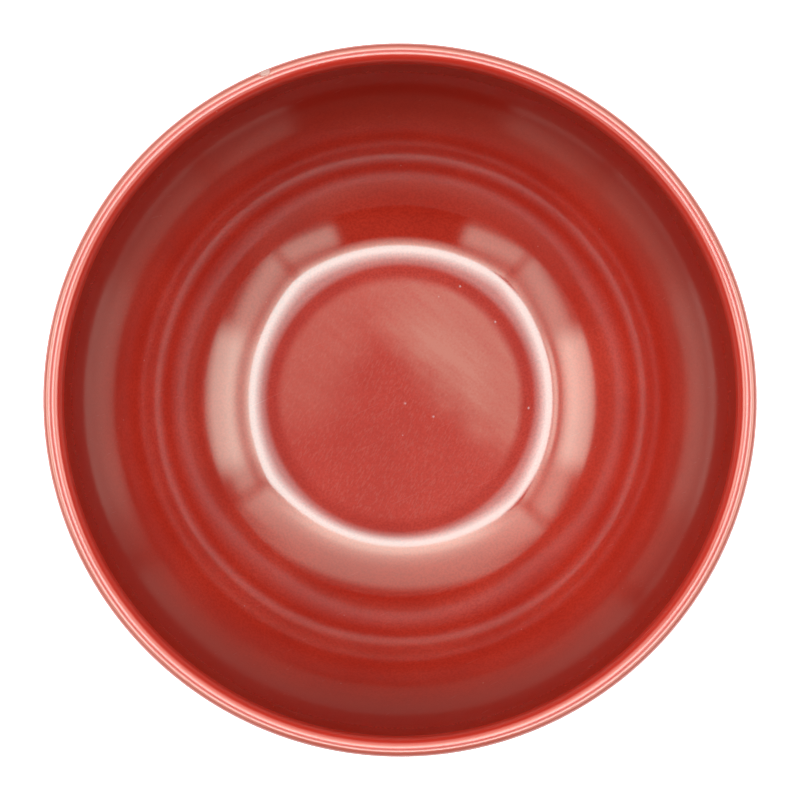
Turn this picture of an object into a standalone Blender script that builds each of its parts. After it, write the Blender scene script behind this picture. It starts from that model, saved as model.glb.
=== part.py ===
"""Rice bowl: one moulded piece with a rounded lip, a curved wall, a flat inside floor and a foot ring.

The bowl is a turned shape. Half of its section is drawn as an outline that starts on the axis at the
inside floor, goes out and up the wall, over the lip, down the outside, round the foot ring and back to
the axis under the floor. A Screw modifier turns it about +Z. Lengths are in metres. The origin is on
the axis, in the plane that the foot ring stands on.
"""

import math

import bpy
from mathutils import Matrix, Vector
from mathutils.geometry import interpolate_bezier

# Inside of the bowl
RIM_DIAMETER = 0.115
INSIDE_DEPTH = 0.0437  # from the inside floor up to the top of the lip
FLOOR_RADIUS = 0.0219  # flat part of the inside floor
FLOOR_FILLET = 0.0168  # radius that turns the floor up into the wall
LOW_SLOPE = math.radians(26)  # slope of the wall where the fillet ends
HIGH_SLOPE = math.radians(82)  # slope of the wall where it meets the lip
LOW_FULLNESS = 0.38  # share of the wall's chord over which the low slope is felt
HIGH_FULLNESS = 0.24  # share of the wall's chord over which the high slope is felt

# Wall and lip
WALL_THICKNESS = 0.0034  # at the floor, from where the wall thins evenly to the lip
LIP_INNER_RADIUS = 0.0022
LIP_OUTER_RADIUS = 0.0012

# Foot ring, and the hollow inside it
FOOT_RADIUS = 0.0245  # outside of the ring where it stands
FOOT_FACE_WIDTH = 0.0028
FOOT_DRAFT = math.radians(6)  # lean of both sides of the ring, which lets it leave its mould
FOOT_EDGE_RADIUS = 0.0006
FOOT_ROOT_FILLET = 0.0018
RECESS_DEPTH = 0.0050
RECESS_FILLET = 0.0014

# How finely the section is drawn and turned
WALL_STEPS = 11
ARC_STEPS = 4
TURN_STEPS = 64
MERGE_DISTANCE = 0.00001

RED = (0.50, 0.030, 0.020, 1.0)
ROUGHNESS = 0.15


def along(slope):
    """Unit vector that climbs outwards at this slope."""
    return Vector((math.cos(slope), math.sin(slope)))


def outward(slope):
    """Unit vector square to this slope, pointing out of the bowl and down."""
    return Vector((math.sin(slope), -math.cos(slope)))


def arc(centre, radius, first_slope, last_slope):
    """Points at the radius, in the outward direction of each slope from the first to the last."""
    step = (last_slope - first_slope) / ARC_STEPS
    return [centre + outward(first_slope + step * i) * radius for i in range(ARC_STEPS + 1)]


def rounded(before, corner, after, radius):
    """Points of the arc with this radius that touches both sides of a corner."""
    back = (before - corner).normalized()
    ahead = (after - corner).normalized()
    half_angle = back.angle(ahead) / 2
    centre = corner + (back + ahead).normalized() * radius / math.sin(half_angle)
    start = corner + back * radius / math.tan(half_angle)
    end = corner + ahead * radius / math.tan(half_angle)
    sweep = (start - centre).angle_signed(end - centre)
    turns = (Matrix.Rotation(-sweep * i / ARC_STEPS, 2) for i in range(ARC_STEPS + 1))
    return [centre + turn @ (start - centre) for turn in turns]


def slopes_between(points, first_slope, last_slope):
    """Slope at each point, from its neighbours, with the two ends given."""
    middle = ((after - before) for before, after in zip(points, points[2:]))
    return [first_slope] + [math.atan2(step.y, step.x) for step in middle] + [last_slope]


def inside_points(floor_height):
    """The inside, from the edge of the flat floor up to where the lip starts."""
    fillet_centre = Vector((FLOOR_RADIUS, floor_height + FLOOR_FILLET))
    fillet = arc(fillet_centre, FLOOR_FILLET, 0, LOW_SLOPE)
    low = fillet[-1]
    lip_height = floor_height + INSIDE_DEPTH - LIP_INNER_RADIUS
    lip_centre = Vector((RIM_DIAMETER / 2 - LIP_OUTER_RADIUS, lip_height))
    high = lip_centre - outward(HIGH_SLOPE) * LIP_INNER_RADIUS
    chord = (high - low).length
    low_handle = low + along(LOW_SLOPE) * chord * LOW_FULLNESS
    high_handle = high - along(HIGH_SLOPE) * chord * HIGH_FULLNESS
    wall = interpolate_bezier(low, low_handle, high_handle, high, WALL_STEPS + 1)
    return fillet + wall[1:]


def lip_points(floor_height):
    """The rounded lip, from the inside wall over the top to the outside wall."""
    top = Vector((RIM_DIAMETER / 2 - LIP_OUTER_RADIUS, floor_height + INSIDE_DEPTH))
    inner_centre = top - Vector((0, LIP_INNER_RADIUS))
    outer_centre = top - Vector((0, LIP_OUTER_RADIUS))
    inner = arc(inner_centre, LIP_INNER_RADIUS, HIGH_SLOPE - math.pi, -math.pi)
    outer = arc(outer_centre, LIP_OUTER_RADIUS, math.pi, math.pi / 2)
    return inner[1:] + outer[1:]


def outside_points(inside, lip_end):
    """The outside of the wall, from the lip down to the flat underside, square to the inside."""
    slopes = slopes_between(inside, 0, HIGH_SLOPE)
    lip_thickness = (lip_end - inside[-1]).dot(outward(HIGH_SLOPE))
    thinning = (lip_thickness - WALL_THICKNESS) / (inside[-1].y - inside[0].y)
    points = []
    for point, slope in zip(inside, slopes):
        thickness = WALL_THICKNESS + thinning * (point.y - inside[0].y)
        points.append(point + outward(slope) * thickness)
    return points[::-1]


def height_at(radius, points):
    """Height of an outline, drawn from outside to inside, at this radius."""
    for upper, lower in zip(points, points[1:]):
        if lower.x <= radius <= upper.x:
            share = (radius - lower.x) / (upper.x - lower.x)
            return lower.y + share * (upper.y - lower.y)
    return points[-1].y


def bowl_section():
    """Outline of half the section, from the middle of the inside floor to the middle underneath."""
    floor_height = RECESS_DEPTH + WALL_THICKNESS
    inside = inside_points(floor_height)
    lip = lip_points(floor_height)
    outside = outside_points(inside, lip[-1])

    root_radius = FOOT_RADIUS + RECESS_DEPTH * math.tan(FOOT_DRAFT)
    root = Vector((root_radius, height_at(root_radius, outside)))
    clear_of_root = root_radius + 2 * FOOT_ROOT_FILLET
    wall = [point for point in outside if point.x > clear_of_root]
    foot_outer = Vector((FOOT_RADIUS, 0))
    foot_inner = Vector((FOOT_RADIUS - FOOT_FACE_WIDTH, 0))
    recess_corner = foot_inner + Vector((-RECESS_DEPTH * math.tan(FOOT_DRAFT), RECESS_DEPTH))
    recess_middle = Vector((0, RECESS_DEPTH))

    return (
        [Vector((0, floor_height))]
        + inside
        + lip
        + wall
        + rounded(wall[-1], root, foot_outer, FOOT_ROOT_FILLET)
        + rounded(root, foot_outer, foot_inner, FOOT_EDGE_RADIUS)
        + rounded(foot_outer, foot_inner, recess_corner, FOOT_EDGE_RADIUS)
        + rounded(foot_inner, recess_corner, recess_middle, RECESS_FILLET)
        + [recess_middle]
    )


def gloss_material():
    """Glossy red moulded plastic."""
    material = bpy.data.materials.new("red_melamine")
    material.use_nodes = True
    material.diffuse_color = RED
    shader = material.node_tree.nodes["Principled BSDF"]
    shader.inputs["Base Color"].default_value = RED
    shader.inputs["Roughness"].default_value = ROUGHNESS
    shader.inputs["Metallic"].default_value = 0
    return material


def turned_object(name, section):
    """Object whose section is turned a full circle about +Z."""
    mesh = bpy.data.meshes.new(name)
    edges = [(i, i + 1) for i in range(len(section) - 1)]
    mesh.from_pydata([(point.x, 0, point.y) for point in section], edges, [])
    turned = bpy.data.objects.new(name, mesh)
    bpy.context.scene.collection.objects.link(turned)
    screw = turned.modifiers.new("turn", "SCREW")
    screw.axis = "Z"
    screw.angle = math.tau
    screw.steps = TURN_STEPS
    screw.render_steps = TURN_STEPS
    screw.use_merge_vertices = True
    screw.merge_threshold = MERGE_DISTANCE
    screw.use_smooth_shade = True
    return turned


for startup_object in list(bpy.data.objects):
    bpy.data.objects.remove(startup_object, do_unlink=True)

bowl = turned_object("bowl", bowl_section())
bowl.data.materials.append(gloss_material())
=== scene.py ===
"""Rice bowl: one turned moulding in glossy red melamine, on a pale table inside a white light tent."""

import math

import bpy
from mathutils import Matrix, Vector
from mathutils.geometry import interpolate_bezier


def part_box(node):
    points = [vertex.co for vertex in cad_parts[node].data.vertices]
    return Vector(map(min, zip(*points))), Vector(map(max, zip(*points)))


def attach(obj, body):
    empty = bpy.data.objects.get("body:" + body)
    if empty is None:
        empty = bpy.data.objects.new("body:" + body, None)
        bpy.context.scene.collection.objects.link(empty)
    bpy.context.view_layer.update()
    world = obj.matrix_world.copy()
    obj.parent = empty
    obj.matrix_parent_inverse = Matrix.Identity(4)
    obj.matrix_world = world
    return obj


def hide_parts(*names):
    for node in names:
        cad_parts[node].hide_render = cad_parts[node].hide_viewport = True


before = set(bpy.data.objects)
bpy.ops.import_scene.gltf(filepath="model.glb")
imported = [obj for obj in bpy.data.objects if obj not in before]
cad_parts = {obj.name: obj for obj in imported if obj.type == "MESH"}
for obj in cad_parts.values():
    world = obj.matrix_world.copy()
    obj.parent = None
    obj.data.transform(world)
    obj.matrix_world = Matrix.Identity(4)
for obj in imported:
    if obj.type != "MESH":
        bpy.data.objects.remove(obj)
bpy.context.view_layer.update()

bpy.ops.object.select_all(action="DESELECT")


# Camera
# It looks straight down the bowl's axis from 55 cm above the lip, with +Y at the top of its view.
# The lens is long enough for the rim to fill nine tenths of the view's width.

CAMERA_ABOVE_LIP = 0.55
RIM_SHARE_OF_VIEW = 0.8946
SENSOR_WIDTH = 36

low_corner, high_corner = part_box("bowl")
camera_data = bpy.data.cameras.new("camera")
camera_data.sensor_width = SENSOR_WIDTH
camera_data.lens = RIM_SHARE_OF_VIEW * SENSOR_WIDTH * CAMERA_ABOVE_LIP / (2 * high_corner.x)
camera = bpy.data.objects.new("camera", camera_data)
camera.location = (0, 0, high_corner.z + CAMERA_ABOVE_LIP)
bpy.context.scene.collection.objects.link(camera)
bpy.context.scene.camera = camera
bpy.context.scene.view_settings.view_transform = "Standard"


# Bowl
# A single compression moulding in red melamine, about 3.4 mm thick. The mould leaves the wall and the
# lip glossy, and the flat inside floor has been rubbed satin by use. It stands on a turned foot ring.

MM = 0.001

INSIDE_DEPTH = 43.7 * MM  # from the inside floor up to the top of the lip
FLOOR_RADIUS = 21.9 * MM
FLOOR_FILLET = 16.8 * MM
LOW_SLOPE = math.radians(26)
HIGH_SLOPE = math.radians(81)
LOW_FULLNESS = 0.39
HIGH_FULLNESS = 0.24
WALL_THICKNESS = 3.4 * MM
LIP_INNER_RADIUS = 1.85 * MM
LIP_OUTER_RADIUS = 1.2 * MM
FOOT_RADIUS = 24.5 * MM
FOOT_FACE_WIDTH = 2.8 * MM
FOOT_DRAFT = math.radians(6)
FOOT_EDGE_RADIUS = 0.6 * MM
FOOT_ROOT_FILLET = 1.8 * MM
RECESS_FILLET = 1.4 * MM

WALL_STEPS = 84
FLOOR_STEPS = 6
TURN_STEPS = 256

rim_radius = high_corner.x
floor_height = high_corner.z - INSIDE_DEPTH
recess_height = floor_height - WALL_THICKNESS
lip_top = Vector((rim_radius - LIP_OUTER_RADIUS, high_corner.z))


def along(slope):
    """Unit vector in the section that climbs outwards at this slope."""
    return Vector((math.cos(slope), math.sin(slope)))


def outward(slope):
    """Unit vector in the section, square to this slope, pointing out of the bowl and down."""
    return Vector((math.sin(slope), -math.cos(slope)))


def arc(centre, radius, first_slope, last_slope, steps):
    """Points at the radius, in the outward direction of each slope from the first to the last."""
    step = (last_slope - first_slope) / steps
    return [centre + outward(first_slope + step * i) * radius for i in range(steps + 1)]


def rounded(before, corner, after, radius, steps):
    """Points of the arc with this radius that touches both sides of a corner."""
    back = (before - corner).normalized()
    ahead = (after - corner).normalized()
    half_angle = back.angle(ahead) / 2
    centre = corner + (back + ahead).normalized() * radius / math.sin(half_angle)
    start = corner + back * radius / math.tan(half_angle)
    end = corner + ahead * radius / math.tan(half_angle)
    sweep = (start - centre).angle_signed(end - centre)
    turns = (Matrix.Rotation(-sweep * i / steps, 2) for i in range(steps + 1))
    return [centre + turn @ (start - centre) for turn in turns]


def height_at(radius, points):
    """Height of an outline, drawn from outside to inside, at this radius."""
    for upper, lower in zip(points, points[1:]):
        if lower.x <= radius <= upper.x:
            share = (radius - lower.x) / (upper.x - lower.x)
            return lower.y + share * (upper.y - lower.y)
    return points[-1].y


def inside_outline():
    """From the edge of the flat floor, round the fillet and up the wall to where the lip starts."""
    fillet_centre = Vector((FLOOR_RADIUS, floor_height + FLOOR_FILLET))
    fillet = arc(fillet_centre, FLOOR_FILLET, 0, LOW_SLOPE, 20)
    low = fillet[-1]
    high = lip_top - Vector((0, LIP_INNER_RADIUS)) - outward(HIGH_SLOPE) * LIP_INNER_RADIUS
    chord = (high - low).length
    low_handle = low + along(LOW_SLOPE) * chord * LOW_FULLNESS
    high_handle = high - along(HIGH_SLOPE) * chord * HIGH_FULLNESS
    wall = interpolate_bezier(low, low_handle, high_handle, high, WALL_STEPS + 1)
    return fillet + wall[1:]


def lip_outline():
    """Over the lip, from the inside wall to the outside wall."""
    inner_centre = lip_top - Vector((0, LIP_INNER_RADIUS))
    outer_centre = lip_top - Vector((0, LIP_OUTER_RADIUS))
    inner = arc(inner_centre, LIP_INNER_RADIUS, HIGH_SLOPE - math.pi, -math.pi, 24)
    outer = arc(outer_centre, LIP_OUTER_RADIUS, math.pi, math.pi / 2, 18)
    return inner[1:] + outer[1:]


def outside_outline(inside, lip_end):
    """Down the outside of the wall, square to the inside, with a wall that thins towards the lip."""
    steps = [after - before for before, after in zip(inside, inside[2:])]
    slopes = [0] + [math.atan2(step.y, step.x) for step in steps] + [HIGH_SLOPE]
    lip_thickness = (lip_end - inside[-1]).dot(outward(HIGH_SLOPE))
    thinning = (lip_thickness - WALL_THICKNESS) / (inside[-1].y - inside[0].y)
    points = []
    for point, slope in zip(inside, slopes):
        thickness = WALL_THICKNESS + thinning * (point.y - inside[0].y)
        points.append(point + outward(slope) * thickness)
    return points[::-1]


def foot_outline(wall, outside):
    """Round the foot ring and into the hollow under the floor."""
    recess_depth = recess_height - low_corner.z
    root_radius = FOOT_RADIUS + recess_depth * math.tan(FOOT_DRAFT)
    root = Vector((root_radius, height_at(root_radius, outside)))
    outer = Vector((FOOT_RADIUS, low_corner.z))
    inner = Vector((FOOT_RADIUS - FOOT_FACE_WIDTH, low_corner.z))
    recess = inner + Vector((-recess_depth * math.tan(FOOT_DRAFT), recess_depth))
    middle = Vector((0, recess_height))
    return (
        rounded(wall[-1], root, outer, FOOT_ROOT_FILLET, 10)
        + rounded(root, outer, inner, FOOT_EDGE_RADIUS, 8)
        + rounded(outer, inner, recess, FOOT_EDGE_RADIUS, 8)
        + rounded(inner, recess, middle, RECESS_FILLET, 10)
        + [middle]
    )


def bowl_outline():
    """Half the section, from the middle of the inside floor to the middle underneath."""
    floor = [Vector((FLOOR_RADIUS * i / FLOOR_STEPS, floor_height)) for i in range(FLOOR_STEPS)]
    inside = inside_outline()
    lip = lip_outline()
    outside = outside_outline(inside, lip[-1])
    clear_of_foot = FOOT_RADIUS + 2.4 * FOOT_ROOT_FILLET
    wall = [point for point in outside if point.x > clear_of_foot]
    return floor + inside + lip + wall + foot_outline(wall, outside)


def draw_outline(name, points):
    """A mesh object whose only edges run along these points of the section, at y = 0."""
    bpy.ops.mesh.primitive_plane_add(size=MM, location=(0, 0, 0))
    drawn = bpy.context.object
    drawn.name = name
    drawn.data.name = name
    bpy.ops.object.mode_set(mode="EDIT")
    bpy.ops.mesh.select_all(action="SELECT")
    bpy.ops.mesh.merge(type="CENTER")
    bpy.ops.transform.translate(value=(points[0].x, 0, points[0].y))
    for before, after in zip(points, points[1:]):
        bpy.ops.mesh.extrude_vertices_move(
            TRANSFORM_OT_translate={"value": (after.x - before.x, 0, after.y - before.y)}
        )
    return drawn


def turn_outline():
    """Spins the drawn outline a full circle about +Z and closes the seam and both poles."""
    bpy.ops.mesh.select_all(action="SELECT")
    bpy.ops.mesh.spin(steps=TURN_STEPS, angle=math.tau, center=(0, 0, 0), axis=(0, 0, 1))
    bpy.ops.mesh.select_all(action="SELECT")
    bpy.ops.mesh.remove_doubles(threshold=0.002 * MM)
    bpy.ops.mesh.normals_make_consistent(inside=False)
    bpy.ops.object.mode_set(mode="OBJECT")
    bpy.ops.object.shade_smooth()


bowl = draw_outline("red_bowl", bowl_outline())
turn_outline()

RED = (0.36, 0.019, 0.009, 1)
RED_DEEP_AND_SHADE = (0.225, 0.010, 0.005, 1)  # deeper red for the fine mottle, and painted shade on the inside wall near the lip
RED_PALE = (0.43, 0.029, 0.014, 1)
LIP_RED = (0.46, 0.027, 0.015, 1)
LIP_PAINTED_REFLECTION = (0.42, 0.095, 0.070, 1)  # painted reflection on the top and outside of the lip
PALE_WEAR_AND_SHEEN = (0.41, 0.105, 0.070, 1)  # where the floor is rubbed most, which also paints its sheen; the rubbing strokes and the bruise take it too
BARE_RESIN = (0.41, 0.265, 0.235, 1)  # the filler that shows in a chip
WALL_ROUGHNESS = 0.085
LIP_ROUGHNESS = 0.185
FLOOR_ROUGHNESS = 0.115
SATIN_ROUGHNESS = 0.175
FOOT_ROUGHNESS = 0.5
CHIP_ROUGHNESS = 0.6
SCRATCH_ROUGHNESS = 0.4
MELAMINE_IOR = 1.65
WAVE_HEIGHT = 9  # thousandths of a millimetre, as are the next six
SAND_HEIGHT = 0.55
STROKE_HEIGHT = 2.4
STREAK_HEIGHT = 3.5
SCRATCH_DEPTH = 0.2
NIP_HEIGHT = 14
CHIP_DEPTH = 90
SATIN_RADIUS = 20.9  # mm, as are the other places and sizes in this material
SATIN_EDGE = 0.9
LIP_BELOW_TOP = (3.2, 2.1)  # where the lip starts to show, and where it is all lip
LIP_TOP_RADIUS = (55.8, 57.0)
SHADE_BELOW_TOP = (28, 13)
FOOT_FACE_HEIGHT = (0.45, 0.2)
CHIP_ANGLE = math.radians(112.4)
CHIP_RADIUS = 56.9
CHIP_SIZE = (0.95, 0.5)
NIPS = [(0.9, -0.6), (5.8, -2.9), (22.3, -1.4), (10.4, 19.7), (16.5, 13.5)]
NIP_EDGE = (0.24, 0.064)
SPECK_CELLS = 0.3  # cells per mm, of which some hold a speck
SPECKED_CELLS = 0.16
SPECK_EDGE = (0.055, 0.025)
SPECK_RISE = 0.5
TICK = ((-5.8, 55.6), math.radians(45), (0.6, 0.09))  # place, turn and half size of a mark on the lip
KINK = ((-13.3, 53.8), math.radians(40), (0.35, 0.11))
SCRAPE = ((20.3, -3.2), math.radians(75), (0.8, 0.06))
BRUISE_SIZE = (1.5, 0.7)
BRUISE_INSET = 0.7
STRONG_EDGE = (0.72, 0.69, 5.6)  # direction across the edge of the strong satin and its painted sheen, and its distance
FAINT_EDGE = (-0.912, 0.408, 9.7)
FAINT_SHARE = 0.3
CLOUD_SHIFT = 7  # how far clouds move those edges in all
WIPING_TURN = math.radians(-41)
RUBBING_TURN = math.radians(60)
SCRATCH_TURN = math.radians(25)
SCRATCH_CUT = (0.735, 0.765)  # only the highest of the grain is a scratch
STREAKS_ROUND = 7
STREAKS_ACROSS = 5
STREAKS_UP = 1.7

# Grains per mm, along each grain's own length, width and height
CLOUD_GRAIN = (0.13, 0.13, 0.13)
WIPING_GRAIN = (0.10, 0.75, 0.5)
BLOOM_GRAIN = (2.4, 2.4, 2.4)
RUBBING_GRAIN = (1.1, 4.2, 1)
SCRATCH_GRAIN = (0.07, 4.5, 0.5)
RAGGED_GRAIN = (2.2, 2.2, 2.2)
MOTTLE_GRAIN = (0.06, 0.06, 0.06)
FINE_MOTTLE_GRAIN = (2.6, 2.6, 2.6)
WAVE_GRAIN = (0.10, 0.10, 0.10)
SAND_GRAIN = (5, 5, 5)

# How much of its tint each mark takes
FINE_MOTTLE_SHARE = 0.45
FLOOR_PALE_SHARE = 0.3
NEAR_LIP_SHADE_SHARE = 0.87
RUBBING_SHARE = 0.22
BRUISE_SHARE = 0.5
CHIP_SHARE = 0.75
SCRATCH_SHARE = 0.07
SPECK_SHARE = 0.35
NIP_SHARE = 0.28
TICK_SHARE = 0.14
FOOT_FACE_SHARE = 0.35
DULL_SHARE = 0.08


def calculate(tree, operation, first, second=None, third=None):
    """Result of a sum on numbers or on other nodes' results."""
    made = tree.nodes.new("ShaderNodeMath")
    made.operation = operation
    for socket, value in zip(made.inputs, (first, second, third)):
        if isinstance(value, bpy.types.NodeSocket):
            tree.links.new(value, socket)
        elif value is not None:
            socket.default_value = value
    return made.outputs["Value"]


def scaled(tree, value, factor):
    """The value times a factor, which may be another node's result."""
    return calculate(tree, "MULTIPLY", value, factor)


def ramp(tree, value, start, end):
    """Runs smoothly from 0 at the start to 1 at the end."""
    made = tree.nodes.new("ShaderNodeMapRange")
    made.interpolation_type = "SMOOTHSTEP"
    made.inputs["From Min"].default_value = min(start, end)
    made.inputs["From Max"].default_value = max(start, end)
    made.inputs["To Min"].default_value = 0 if start < end else 1
    made.inputs["To Max"].default_value = 1 if start < end else 0
    tree.links.new(value, made.inputs["Value"])
    return made.outputs["Result"]


def both(tree, first, second):
    """High only where the two shares are high."""
    return calculate(tree, "MULTIPLY", first, second)


def either(tree, first, second):
    """High where one of the two shares is high."""
    return calculate(tree, "MAXIMUM", first, second)


def blend(tree, share, first, second):
    """The first value where the share is 0 and the second where it is 1."""
    made = tree.nodes.new("ShaderNodeMix")
    made.data_type = "FLOAT"
    for socket, value in zip((made.inputs[0], made.inputs[2], made.inputs[3]), (share, first, second)):
        if isinstance(value, bpy.types.NodeSocket):
            tree.links.new(value, socket)
        else:
            socket.default_value = value
    return made.outputs[0]


def tint(tree, share, first, second):
    """The first colour where the share is 0 and the second where it is 1."""
    made = tree.nodes.new("ShaderNodeMix")
    made.data_type = "RGBA"
    for socket, value in zip((made.inputs[0], made.inputs[6], made.inputs[7]), (share, first, second)):
        if isinstance(value, bpy.types.NodeSocket):
            tree.links.new(value, socket)
        else:
            socket.default_value = value
    return made.outputs[2]


def grain(tree, place, scale, detail=2.0, turn=0.0):
    """Noise about 0.5, with this many grains per mm along its own X and Y."""
    mapping = tree.nodes.new("ShaderNodeMapping")
    mapping.vector_type = "TEXTURE"
    mapping.inputs["Rotation"].default_value = (0, 0, turn)
    mapping.inputs["Scale"].default_value = [1 / number for number in scale]
    tree.links.new(place, mapping.inputs["Vector"])
    made = tree.nodes.new("ShaderNodeTexNoise")
    made.inputs["Scale"].default_value = 1
    made.inputs["Detail"].default_value = detail
    tree.links.new(mapping.outputs["Vector"], made.inputs["Vector"])
    return made.outputs["Fac"]


def distance_from(tree, x, y, centre, turn=0.0, size=(1.0, 1.0)):
    """Distance from a place, in sizes of an oval whose length lies at this turn."""
    from_x = calculate(tree, "SUBTRACT", x, centre[0])
    from_y = calculate(tree, "SUBTRACT", y, centre[1])
    cos_x = calculate(tree, "MULTIPLY", from_x, math.cos(turn) / size[0])
    length = calculate(tree, "MULTIPLY_ADD", from_y, math.sin(turn) / size[0], cos_x)
    sin_x = calculate(tree, "MULTIPLY", from_x, -math.sin(turn) / size[1])
    width = calculate(tree, "MULTIPLY_ADD", from_y, math.cos(turn) / size[1], sin_x)
    squares = calculate(tree, "MULTIPLY_ADD", length, length, calculate(tree, "MULTIPLY", width, width))
    return calculate(tree, "SQRT", squares)


def past_edge(tree, x, y, edge):
    """How far a point lies past a straight edge, given by its direction and its distance from the axis."""
    across_y = calculate(tree, "MULTIPLY_ADD", y, edge[1], -edge[2])
    return calculate(tree, "MULTIPLY_ADD", x, edge[0], across_y)


def mark_at(tree, x, y, mark, start, end):
    """A small oval mark that fades from its inner share of its size to its outer one."""
    centre, turn, size = mark
    return ramp(tree, distance_from(tree, x, y, centre, turn, size), start, end)


red_melamine = bpy.data.materials.new("red_melamine_gloss")
red_melamine.use_nodes = True
tree = red_melamine.node_tree
shader = tree.nodes["Principled BSDF"]
coordinates = tree.nodes.new("ShaderNodeTexCoord")
in_mm = tree.nodes.new("ShaderNodeVectorMath")
in_mm.operation = "SCALE"
in_mm.inputs["Scale"].default_value = 1 / MM
tree.links.new(coordinates.outputs["Object"], in_mm.inputs[0])
place = in_mm.outputs["Vector"]
parts = tree.nodes.new("ShaderNodeSeparateXYZ")
tree.links.new(place, parts.inputs["Vector"])
x, y, z = parts.outputs
radius = distance_from(tree, x, y, (0, 0))

# Which part of the bowl a point is on
floor_mm = floor_height / MM
lip_mm = lip_top.y / MM
above_floor = calculate(tree, "GREATER_THAN", z, floor_mm - 1)
on_floor = both(tree, above_floor, ramp(tree, radius, SATIN_RADIUS + SATIN_EDGE, SATIN_RADIUS - SATIN_EDGE))
on_lip = ramp(tree, z, lip_mm - LIP_BELOW_TOP[0], lip_mm - LIP_BELOW_TOP[1])
lip_reflection_share = both(tree, on_lip, ramp(tree, radius, *LIP_TOP_RADIUS))
on_foot_face = ramp(tree, z, *FOOT_FACE_HEIGHT)
facing = tree.nodes.new("ShaderNodeNewGeometry")
facing_parts = tree.nodes.new("ShaderNodeSeparateXYZ")
tree.links.new(facing.outputs["Normal"], facing_parts.inputs["Vector"])
facing_x, facing_y, _ = facing_parts.outputs
faces_out = calculate(tree, "MULTIPLY_ADD", x, facing_x, calculate(tree, "MULTIPLY", y, facing_y))
inside = calculate(tree, "LESS_THAN", faces_out, 0)
# Painted shade: the inside wall is painted darker towards the lip, down to where the lip begins
wall_shade_ramp = ramp(tree, z, lip_mm - SHADE_BELOW_TOP[0], lip_mm - SHADE_BELOW_TOP[1])
painted_shade_near_lip = calculate(tree, "SUBTRACT", wall_shade_ramp, on_lip)
painted_shade_near_lip = both(tree, painted_shade_near_lip, inside)

# Rubbed satin on the floor, with a painted sheen in its colour: strong on one side of a line, faint on the
# other, and clear in between
cloud = grain(tree, place, CLOUD_GRAIN, 3)
cloud_shift = calculate(tree, "MULTIPLY_ADD", cloud, CLOUD_SHIFT, -CLOUD_SHIFT / 2)
past_line = past_edge(tree, x, y, STRONG_EDGE)
strong = ramp(tree, calculate(tree, "ADD", past_line, cloud_shift), -4, 6)
strong = both(tree, strong, calculate(tree, "MULTIPLY_ADD", ramp(tree, x, -4, 7), 0.40, 0.60))
strong = both(tree, strong, calculate(tree, "MULTIPLY_ADD", ramp(tree, radius, 11, 18), -0.35, 1))
past_left = past_edge(tree, x, y, FAINT_EDGE)
faint = ramp(tree, calculate(tree, "ADD", past_left, cloud_shift), -5, 5)
faint = both(tree, faint, ramp(tree, y, -10, 2))
satin_and_sheen = either(tree, strong, scaled(tree, faint, FAINT_SHARE))
wiped = grain(tree, place, WIPING_GRAIN, 4, WIPING_TURN)
bloom_grain = grain(tree, place, BLOOM_GRAIN, 3)
satin_and_sheen = both(tree, satin_and_sheen, calculate(tree, "MULTIPLY_ADD", bloom_grain, 0.9, 0.55))
satin_and_sheen = both(tree, satin_and_sheen, calculate(tree, "MULTIPLY_ADD", wiped, 0.8, 0.6))
satin_and_sheen = both(tree, satin_and_sheen, on_floor)

# Rubbing strokes on the floor, lip streaks that run round it, and a few hairline scratches
strokes = grain(tree, place, RUBBING_GRAIN, 2, RUBBING_TURN)
round_place = tree.nodes.new("ShaderNodeVectorMath")
round_place.operation = "NORMALIZE"
flat_place = tree.nodes.new("ShaderNodeCombineXYZ")
tree.links.new(x, flat_place.inputs["X"])
tree.links.new(y, flat_place.inputs["Y"])
tree.links.new(flat_place.outputs["Vector"], round_place.inputs[0])
streak_parts = tree.nodes.new("ShaderNodeSeparateXYZ")
tree.links.new(round_place.outputs["Vector"], streak_parts.inputs["Vector"])
streak_place = tree.nodes.new("ShaderNodeCombineXYZ")
across_lip = calculate(tree, "MULTIPLY_ADD", z, STREAKS_UP, scaled(tree, radius, STREAKS_ACROSS))
tree.links.new(scaled(tree, streak_parts.outputs["X"], STREAKS_ROUND), streak_place.inputs["X"])
tree.links.new(scaled(tree, streak_parts.outputs["Y"], STREAKS_ROUND), streak_place.inputs["Y"])
tree.links.new(across_lip, streak_place.inputs["Z"])
streaks = grain(tree, streak_place.outputs["Vector"], (1, 1, 1), 3)

scratches = ramp(tree, grain(tree, place, SCRATCH_GRAIN, 1, SCRATCH_TURN), *SCRATCH_CUT)

# Dust nips moulded into the surface, and specks near the lip
nips = None
for centre in NIPS:
    nip = ramp(tree, distance_from(tree, x, y, centre), *NIP_EDGE)
    nips = nip if nips is None else either(tree, nips, nip)
nips = both(tree, nips, above_floor)
cells = tree.nodes.new("ShaderNodeTexVoronoi")
cells.inputs["Scale"].default_value = SPECK_CELLS
tree.links.new(place, cells.inputs["Vector"])
cell_parts = tree.nodes.new("ShaderNodeSeparateColor")
tree.links.new(cells.outputs["Color"], cell_parts.inputs["Color"])
chosen = calculate(tree, "LESS_THAN", cell_parts.outputs["Red"], SPECKED_CELLS)
specks = both(tree, ramp(tree, cells.outputs["Distance"], *SPECK_EDGE), chosen)

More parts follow.
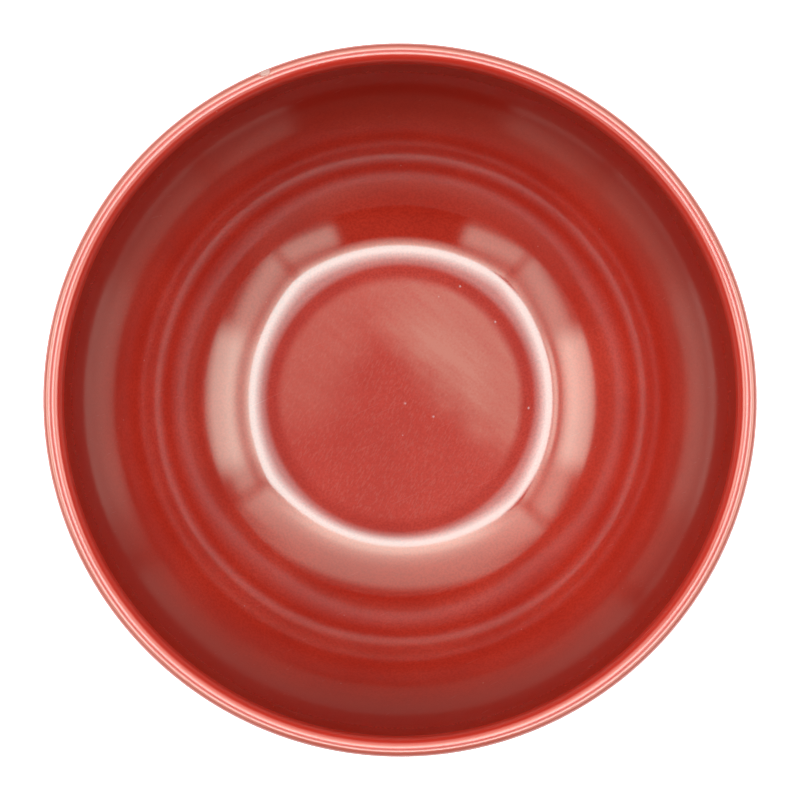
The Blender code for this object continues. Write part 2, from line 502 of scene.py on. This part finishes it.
# A chip knocked off the lip, with a bruise inside it, two marks on the lip and a scrape on the floor
chip_centre = (CHIP_RADIUS * math.cos(CHIP_ANGLE), CHIP_RADIUS * math.sin(CHIP_ANGLE))
chip_turn = CHIP_ANGLE + math.pi / 2
ragged = calculate(tree, "MULTIPLY_ADD", grain(tree, place, RAGGED_GRAIN, 3), 0.9, -0.45)
chip_distance = distance_from(tree, x, y, chip_centre, chip_turn, CHIP_SIZE)
chip_distance = calculate(tree, "ADD", chip_distance, ragged)
chip = both(tree, ramp(tree, chip_distance, 1.2, 0.75), on_lip)
bruise_radius = CHIP_RADIUS - BRUISE_INSET
bruise_centre = (bruise_radius * math.cos(CHIP_ANGLE), bruise_radius * math.sin(CHIP_ANGLE))
bruise_distance = distance_from(tree, x, y, bruise_centre, chip_turn, BRUISE_SIZE)
bruise_distance = calculate(tree, "ADD", bruise_distance, ragged)
bruise = both(tree, ramp(tree, bruise_distance, 1.2, 0.3), on_lip)
tick = mark_at(tree, x, y, TICK, 1.3, 0.4)
kink = mark_at(tree, x, y, KINK, 1.3, 0.4)
scrape = mark_at(tree, x, y, SCRAPE, 1.3, 0.5)
ticks = both(tree, either(tree, either(tree, tick, kink), scrape), above_floor)

# Colour
mottle = grain(tree, place, MOTTLE_GRAIN, 5)
fine_mottle = grain(tree, place, FINE_MOTTLE_GRAIN, 3)
colour = tint(tree, ramp(tree, mottle, 0.3, 0.75), RED, RED_PALE)
colour = tint(tree, scaled(tree, ramp(tree, fine_mottle, 0.62, 0.35), FINE_MOTTLE_SHARE), colour, RED_DEEP_AND_SHADE)
colour = tint(tree, scaled(tree, on_floor, FLOOR_PALE_SHARE), colour, RED_PALE)
# Painted shade on the inside wall below the lip
colour = tint(tree, scaled(tree, painted_shade_near_lip, NEAR_LIP_SHADE_SHARE), colour, RED_DEEP_AND_SHADE)
colour = tint(tree, on_lip, colour, LIP_RED)
# Painted reflection: the top and outside of the lip are painted paler
colour = tint(tree, lip_reflection_share, colour, LIP_PAINTED_REFLECTION)
# Painted sheen: the rubbed satin of the floor is painted paler
colour = tint(tree, satin_and_sheen, colour, PALE_WEAR_AND_SHEEN)
rubbed_pale = both(tree, ramp(tree, strokes, 0.48, 0.75), on_floor)
colour = tint(tree, scaled(tree, rubbed_pale, RUBBING_SHARE), colour, PALE_WEAR_AND_SHEEN)
colour = tint(tree, scaled(tree, bruise, BRUISE_SHARE), colour, PALE_WEAR_AND_SHEEN)
colour = tint(tree, scaled(tree, chip, CHIP_SHARE), colour, BARE_RESIN)
pale_marks = either(tree, scaled(tree, scratches, SCRATCH_SHARE), scaled(tree, specks, SPECK_SHARE))
small_marks = either(tree, scaled(tree, nips, NIP_SHARE), scaled(tree, ticks, TICK_SHARE))
pale_marks = either(tree, pale_marks, small_marks)
pale_marks = either(tree, pale_marks, scaled(tree, on_foot_face, FOOT_FACE_SHARE))
colour = tint(tree, pale_marks, colour, BARE_RESIN)
tree.links.new(colour, shader.inputs["Base Color"])

# Gloss
wall_gloss = calculate(tree, "MULTIPLY_ADD", fine_mottle, 0.03, WALL_ROUGHNESS - 0.015)
floor_gloss = calculate(tree, "MULTIPLY_ADD", strokes, 0.05, FLOOR_ROUGHNESS - 0.025)
lip_gloss = calculate(tree, "MULTIPLY_ADD", streaks, 0.08, LIP_ROUGHNESS - 0.04)
gloss = blend(tree, on_floor, wall_gloss, floor_gloss)
gloss = blend(tree, satin_and_sheen, gloss, SATIN_ROUGHNESS)
gloss = blend(tree, on_lip, gloss, lip_gloss)
gloss = blend(tree, scaled(tree, either(tree, scratches, ticks), DULL_SHARE), gloss, SCRATCH_ROUGHNESS)
gloss = blend(tree, on_foot_face, gloss, FOOT_ROUGHNESS)
gloss = blend(tree, chip, gloss, CHIP_ROUGHNESS)
tree.links.new(gloss, shader.inputs["Roughness"])
shader.inputs["IOR"].default_value = MELAMINE_IOR

# Relief, summed in thousandths of a millimetre
waves = scaled(tree, grain(tree, place, WAVE_GRAIN, 1), WAVE_HEIGHT)
sand = scaled(tree, grain(tree, place, SAND_GRAIN, 2), SAND_HEIGHT)
relief = calculate(tree, "ADD", waves, sand)
relief = calculate(tree, "ADD", relief, scaled(tree, both(tree, strokes, on_floor), STROKE_HEIGHT))
relief = calculate(tree, "ADD", relief, scaled(tree, both(tree, streaks, on_lip), STREAK_HEIGHT))
relief = calculate(tree, "SUBTRACT", relief, scaled(tree, either(tree, scratches, ticks), SCRATCH_DEPTH))
raised = either(tree, nips, scaled(tree, specks, SPECK_RISE))
relief = calculate(tree, "ADD", relief, scaled(tree, raised, NIP_HEIGHT))
relief = calculate(tree, "SUBTRACT", relief, scaled(tree, chip, CHIP_DEPTH))
bump = tree.nodes.new("ShaderNodeBump")
bump.inputs["Distance"].default_value = MM / 1000
tree.links.new(relief, bump.inputs["Height"])
tree.links.new(bump.outputs["Normal"], shader.inputs["Normal"])

bowl.data.materials.clear()
bowl.data.materials.append(red_melamine)
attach(bowl, "root")
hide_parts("bowl")


# Table
# A matt white sheet that the foot ring stands on, a hair below it. It is far wider than the view, and
# it glows a little, so that it is plain white up to the bowl's edge.

TABLE_SIZE = 8
TABLE_GAP = 0.02 * MM
TABLE_WHITE = (0.9, 0.9, 0.9, 1)
TABLE_GLOW = 0.8

bpy.ops.object.select_all(action="DESELECT")
bpy.ops.mesh.primitive_plane_add(size=TABLE_SIZE, location=(0, 0, low_corner.z - TABLE_GAP))
table = bpy.context.object
table.name = "table"
table_white = bpy.data.materials.new("table_white")
table_white.use_nodes = True
table_shader = table_white.node_tree.nodes["Principled BSDF"]
table_shader.inputs["Base Color"].default_value = TABLE_WHITE
table_shader.inputs["Roughness"].default_value = 0.9
table_shader.inputs["Emission Color"].default_value = (1, 1, 1, 1)
table_shader.inputs["Emission Strength"].default_value = TABLE_GLOW
table.data.materials.append(table_white)


# Light tent
# A white cloth tent, 1.2 m high, that only the gloss of the bowl sees: a ceiling with a hole for the
# camera, a back, two sides with a lamp behind each, and a front with its opening. Places on it are in
# tent heights from the middle of the table, and its levels are brightnesses of the cloth.

TENT_HEIGHT = 1.2
TENT_LEFT = -0.52
TENT_RIGHT = 0.49
TENT_BACK = 0.375
TENT_FRONT = -0.58
PANEL_LENGTH = 1.6
BACK_TURN = math.radians(-8)
BACK_LEAN = 0.14  # how far the back comes forward per length to the right, close to its turn
CEILING_WHITE = (0.71, 1.0, 0.95, 1)
WALL_WHITE = (0.88, 1.0, 0.86, 1)
CLOTH_LEVEL = 0.63
SEAM_WIDTH = (0.01, 0.05)
SEAM_SHARE = 0.5


def curve_through(tree, value, stops):
    """A curve of straight runs through the (position, level) stops."""
    made = tree.nodes.new("ShaderNodeFloatCurve")
    top = max(level for _, level in stops)
    curve = made.mapping.curves[0]
    while len(curve.points) < len(stops):
        curve.points.new(0.5, 0.5)
    for point, (position, level) in zip(curve.points, sorted(stops)):
        point.location = (position, level / top)
        point.handle_type = "VECTOR"
    made.mapping.update()
    tree.links.new(value, made.inputs["Value"])
    return calculate(tree, "MULTIPLY", made.outputs["Value"], top)


def seamed(tree, level, place, seams):
    """Darkens cloth in narrow stripes where two panels are sewn together."""
    for seam in seams:
        away = calculate(tree, "ABSOLUTE", calculate(tree, "SUBTRACT", place, seam))
        clear = ramp(tree, away, *SEAM_WIDTH)
        level = scaled(tree, level, calculate(tree, "MULTIPLY_ADD", clear, 1 - SEAM_SHARE, SEAM_SHARE))
    return level


def cloth_panel(name, place, size, turns, white, brightness):
    """One flat panel of the tent, whose brightness function reads its place in tent heights."""
    location = Vector(place) * TENT_HEIGHT
    size_in_metres = (size[0] * TENT_HEIGHT, size[1] * TENT_HEIGHT, 1)
    bpy.ops.object.select_all(action="DESELECT")
    bpy.ops.mesh.primitive_plane_add(size=1, location=location)
    made = bpy.context.object
    made.name = name
    bpy.ops.object.mode_set(mode="EDIT")
    bpy.ops.transform.resize(value=size_in_metres, center_override=location)
    for axis, angle in turns:
        bpy.ops.transform.rotate(value=angle, orient_axis=axis, center_override=location)
    bpy.ops.object.mode_set(mode="OBJECT")
    bpy.ops.object.transform_apply(location=True, rotation=True, scale=True)
    material = bpy.data.materials.new(name)
    material.use_nodes = True
    tree = material.node_tree
    tree.nodes.remove(tree.nodes["Principled BSDF"])
    emission = tree.nodes.new("ShaderNodeEmission")
    emission.inputs["Color"].default_value = white
    tree.links.new(emission.outputs["Emission"], tree.nodes["Material Output"].inputs["Surface"])
    coordinates = tree.nodes.new("ShaderNodeTexCoord")
    in_heights = tree.nodes.new("ShaderNodeVectorMath")
    in_heights.operation = "SCALE"
    in_heights.inputs["Scale"].default_value = 1 / TENT_HEIGHT
    parts = tree.nodes.new("ShaderNodeSeparateXYZ")
    tree.links.new(coordinates.outputs["Object"], in_heights.inputs[0])
    tree.links.new(in_heights.outputs["Vector"], parts.inputs["Vector"])
    level = scaled(tree, brightness(tree, *parts.outputs), CLOTH_LEVEL)
    path = tree.nodes.new("ShaderNodeLightPath")
    no_bounce_before = calculate(tree, "LESS_THAN", path.outputs["Diffuse Depth"], 0.5)
    tree.links.new(scaled(tree, level, no_bounce_before), emission.inputs["Strength"])
    made.data.materials.append(material)
    made.visible_camera = False
    made.visible_diffuse = False
    made.visible_shadow = False
    made.visible_transmission = False
    made.visible_volume_scatter = False


# The ceiling: dark at the camera's hole, brighter towards its edges, and dim in its corners
CEILING_STOPS = [
    (0, 5),
    (0.39, 5.6),
    (0.48, 9.3),
    (0.55, 12),
    (0.62, 14.5),
    (0.68, 18),
    (0.75, 21),
    (1, 20),
]
CEILING_CENTRE = (0.03, -0.08)
CEILING_REACH = (0.70, 0.60)
CEILING_FRONT = -0.60
HOLE_CENTRE = (-0.01, -0.02)
HOLE = (0.03, 0.22)
HOLE_LEVEL = 0.5


def ceiling_brightness(tree, x, y, z):
    to_right = calculate(tree, "DIVIDE", x, TENT_RIGHT)
    to_left = calculate(tree, "DIVIDE", x, TENT_LEFT)
    back_line = calculate(tree, "MULTIPLY_ADD", x, BACK_LEAN, y)
    to_back = calculate(tree, "DIVIDE", back_line, TENT_BACK)
    to_front = calculate(tree, "DIVIDE", y, CEILING_FRONT)
    towards_side = calculate(tree, "MAXIMUM", to_right, to_left)
    towards_end = calculate(tree, "MAXIMUM", to_back, to_front)
    level = curve_through(tree, calculate(tree, "MAXIMUM", towards_side, towards_end), CEILING_STOPS)
    in_reach = ramp(tree, distance_from(tree, x, y, CEILING_CENTRE), *CEILING_REACH)
    outside_hole = ramp(tree, distance_from(tree, x, y, HOLE_CENTRE), *HOLE)
    level = scaled(tree, scaled(tree, level, in_reach), outside_hole)
    return calculate(tree, "MAXIMUM", level, HOLE_LEVEL)


cloth_panel("tent_ceiling", (0, 0, 1), (PANEL_LENGTH, PANEL_LENGTH), [], CEILING_WHITE, ceiling_brightness)

# The back: brighter towards the top and dimmer towards both ends
BACK_STOPS = [
    (0, 0),
    (0.14, 0),
    (0.205, 0.6),
    (0.245, 3.1),
    (0.37, 4.3),
    (0.5, 6),
    (0.6, 7.6),
    (0.7, 11),
    (0.8, 12.5),
    (0.92, 13.5),
    (1, 15),
]
BACK_ENDS = (0.15, 0.45)
BACK_ENDS_TOP = (0.45, 0.85)
BACK_ENDS_FOOT = (0.36, 0.28)
END_LOSS = 0.5


def back_brightness(tree, x, y, z):
    ends = ramp(tree, calculate(tree, "ABSOLUTE", x), *BACK_ENDS)
    top_or_foot = either(tree, ramp(tree, z, *BACK_ENDS_TOP), ramp(tree, z, *BACK_ENDS_FOOT))
    share = calculate(tree, "MULTIPLY_ADD", both(tree, ends, top_or_foot), -END_LOSS, 1)
    level = scaled(tree, curve_through(tree, z, BACK_STOPS), share)
    return seamed(tree, level, x, (TENT_LEFT, TENT_RIGHT))


back_turns = [("X", math.pi / 2), ("Z", -BACK_TURN)]
cloth_panel("tent_back", (0, TENT_BACK, 0.5), (PANEL_LENGTH, 1), back_turns, WALL_WHITE, back_brightness)

# The front: open in its middle, with cloth at both sides and above
FRONT_STOPS = [
    (0, 0),
    (0.29, 0.1),
    (0.35, 1.5),
    (0.4, 4.6),
    (0.5, 5.2),
    (0.64, 2.3),
    (0.77, 3),
    (0.88, 6.3),
    (1, 11),
]
OPENING_EDGE = (0.20, 0.25)
OPENING_TOP = (0.64, 0.78)
OPENING_SHARE = 0.02


def front_brightness(tree, x, y, z):
    beside = ramp(tree, calculate(tree, "ABSOLUTE", x), *OPENING_EDGE)
    above = ramp(tree, z, *OPENING_TOP)
    share = calculate(tree, "MAXIMUM", either(tree, beside, above), OPENING_SHARE)
    level = scaled(tree, curve_through(tree, z, FRONT_STOPS), share)
    return seamed(tree, level, x, (TENT_LEFT, TENT_RIGHT))


upright = [("X", math.pi / 2)]
cloth_panel("tent_front", (0, TENT_FRONT, 0.5), (PANEL_LENGTH, 1), upright, WALL_WHITE, front_brightness)

# The sides: a lamp glows behind the middle of each, and the cloth beside it is plain
LAMP_REACH = (0.15, 0.25)
RIGHT_LAMP_STOPS = [
    (0, 0),
    (0.16, 0.1),
    (0.22, 0.5),
    (0.27, 5.2),
    (0.3, 8),
    (0.36, 9.4),
    (0.43, 11.5),
    (0.5, 9.5),
    (0.59, 6),
    (0.68, 5),
    (0.78, 6),
    (0.9, 9.5),
    (1, 12),
]
LEFT_LAMP_STOPS = [
    (0, 0),
    (0.16, 0.1),
    (0.22, 0.5),
    (0.27, 5.2),
    (0.3, 8),
    (0.36, 9.8),
    (0.43, 12),
    (0.5, 9.5),
    (0.6, 5.5),
    (0.66, 2.5),
    (0.74, 2.5),
    (0.8, 9),
    (0.88, 10),
    (0.95, 5),
    (1, 8),
]
PLAIN_STOPS = [
    (0, 0),
    (0.25, 0.1),
    (0.32, 1.4),
    (0.36, 3.5),
    (0.42, 5.2),
    (0.5, 5.3),
    (0.64, 3.3),
    (0.74, 3.3),
    (0.85, 5.5),
    (1, 8),
]
RIGHT_SEAMS = (TENT_FRONT, 0.31)
LEFT_SEAMS = (TENT_FRONT, 0.44)


def side_brightness(lamp_stops, seams):
    """Brightness function of one side, with its own lamp and seams."""
    def brightness(tree, x, y, z):
        beside_lamp = ramp(tree, calculate(tree, "ABSOLUTE", y), *LAMP_REACH)
        lamp = curve_through(tree, z, lamp_stops)
        level = blend(tree, beside_lamp, lamp, curve_through(tree, z, PLAIN_STOPS))
        return seamed(tree, level, y, seams)
    return brightness


side_turns = [("Y", math.pi / 2)]
for name, side_x, lamp_stops, seams in (
    ("tent_right", TENT_RIGHT, RIGHT_LAMP_STOPS, RIGHT_SEAMS),
    ("tent_left", TENT_LEFT, LEFT_LAMP_STOPS, LEFT_SEAMS),
):
    brightness = side_brightness(lamp_stops, seams)
    cloth_panel(name, (side_x, 0, 0.5), (1, PANEL_LENGTH), side_turns, WALL_WHITE, brightness)


# Soft lamps
# They light the bowl's red and the table, and its gloss doesn't see them: a wide one overhead, a smaller
# one at its left shoulder and one low at each side, with a trace of light from all round.

AIR_LEVEL = 0.02


def soft_lamp(name, location, size, power):
    """A round lamp that faces the middle of the table."""
    data = bpy.data.lights.new(name, "AREA")
    data.shape = "DISK"
    data.size = size
    data.energy = power
    made = bpy.data.objects.new(name, data)
    made.location = location
    made.rotation_euler = Vector(location).to_track_quat("Z", "Y").to_euler()
    made.visible_glossy = False
    made.visible_camera = False
    bpy.context.scene.collection.objects.link(made)


soft_lamp("overhead_lamp", (-0.07, 0.15, 1.15), size=0.85, power=14.1)
soft_lamp("shoulder_lamp", (-0.69, 0.05, 1.00), size=0.35, power=4.3)
soft_lamp("left_lamp", (-1.06, 0, 0.56), size=0.4, power=3.0)
soft_lamp("right_lamp", (1.06, 0, 0.50), size=0.4, power=5.6)

world = bpy.data.worlds.new("studio_air")
bpy.context.scene.world = world
world.use_nodes = True
world.node_tree.nodes["Background"].inputs["Color"].default_value = (1, 1, 1, 1)
world.node_tree.nodes["Background"].inputs["Strength"].default_value = AIR_LEVEL
world.cycles_visibility.glossy = False
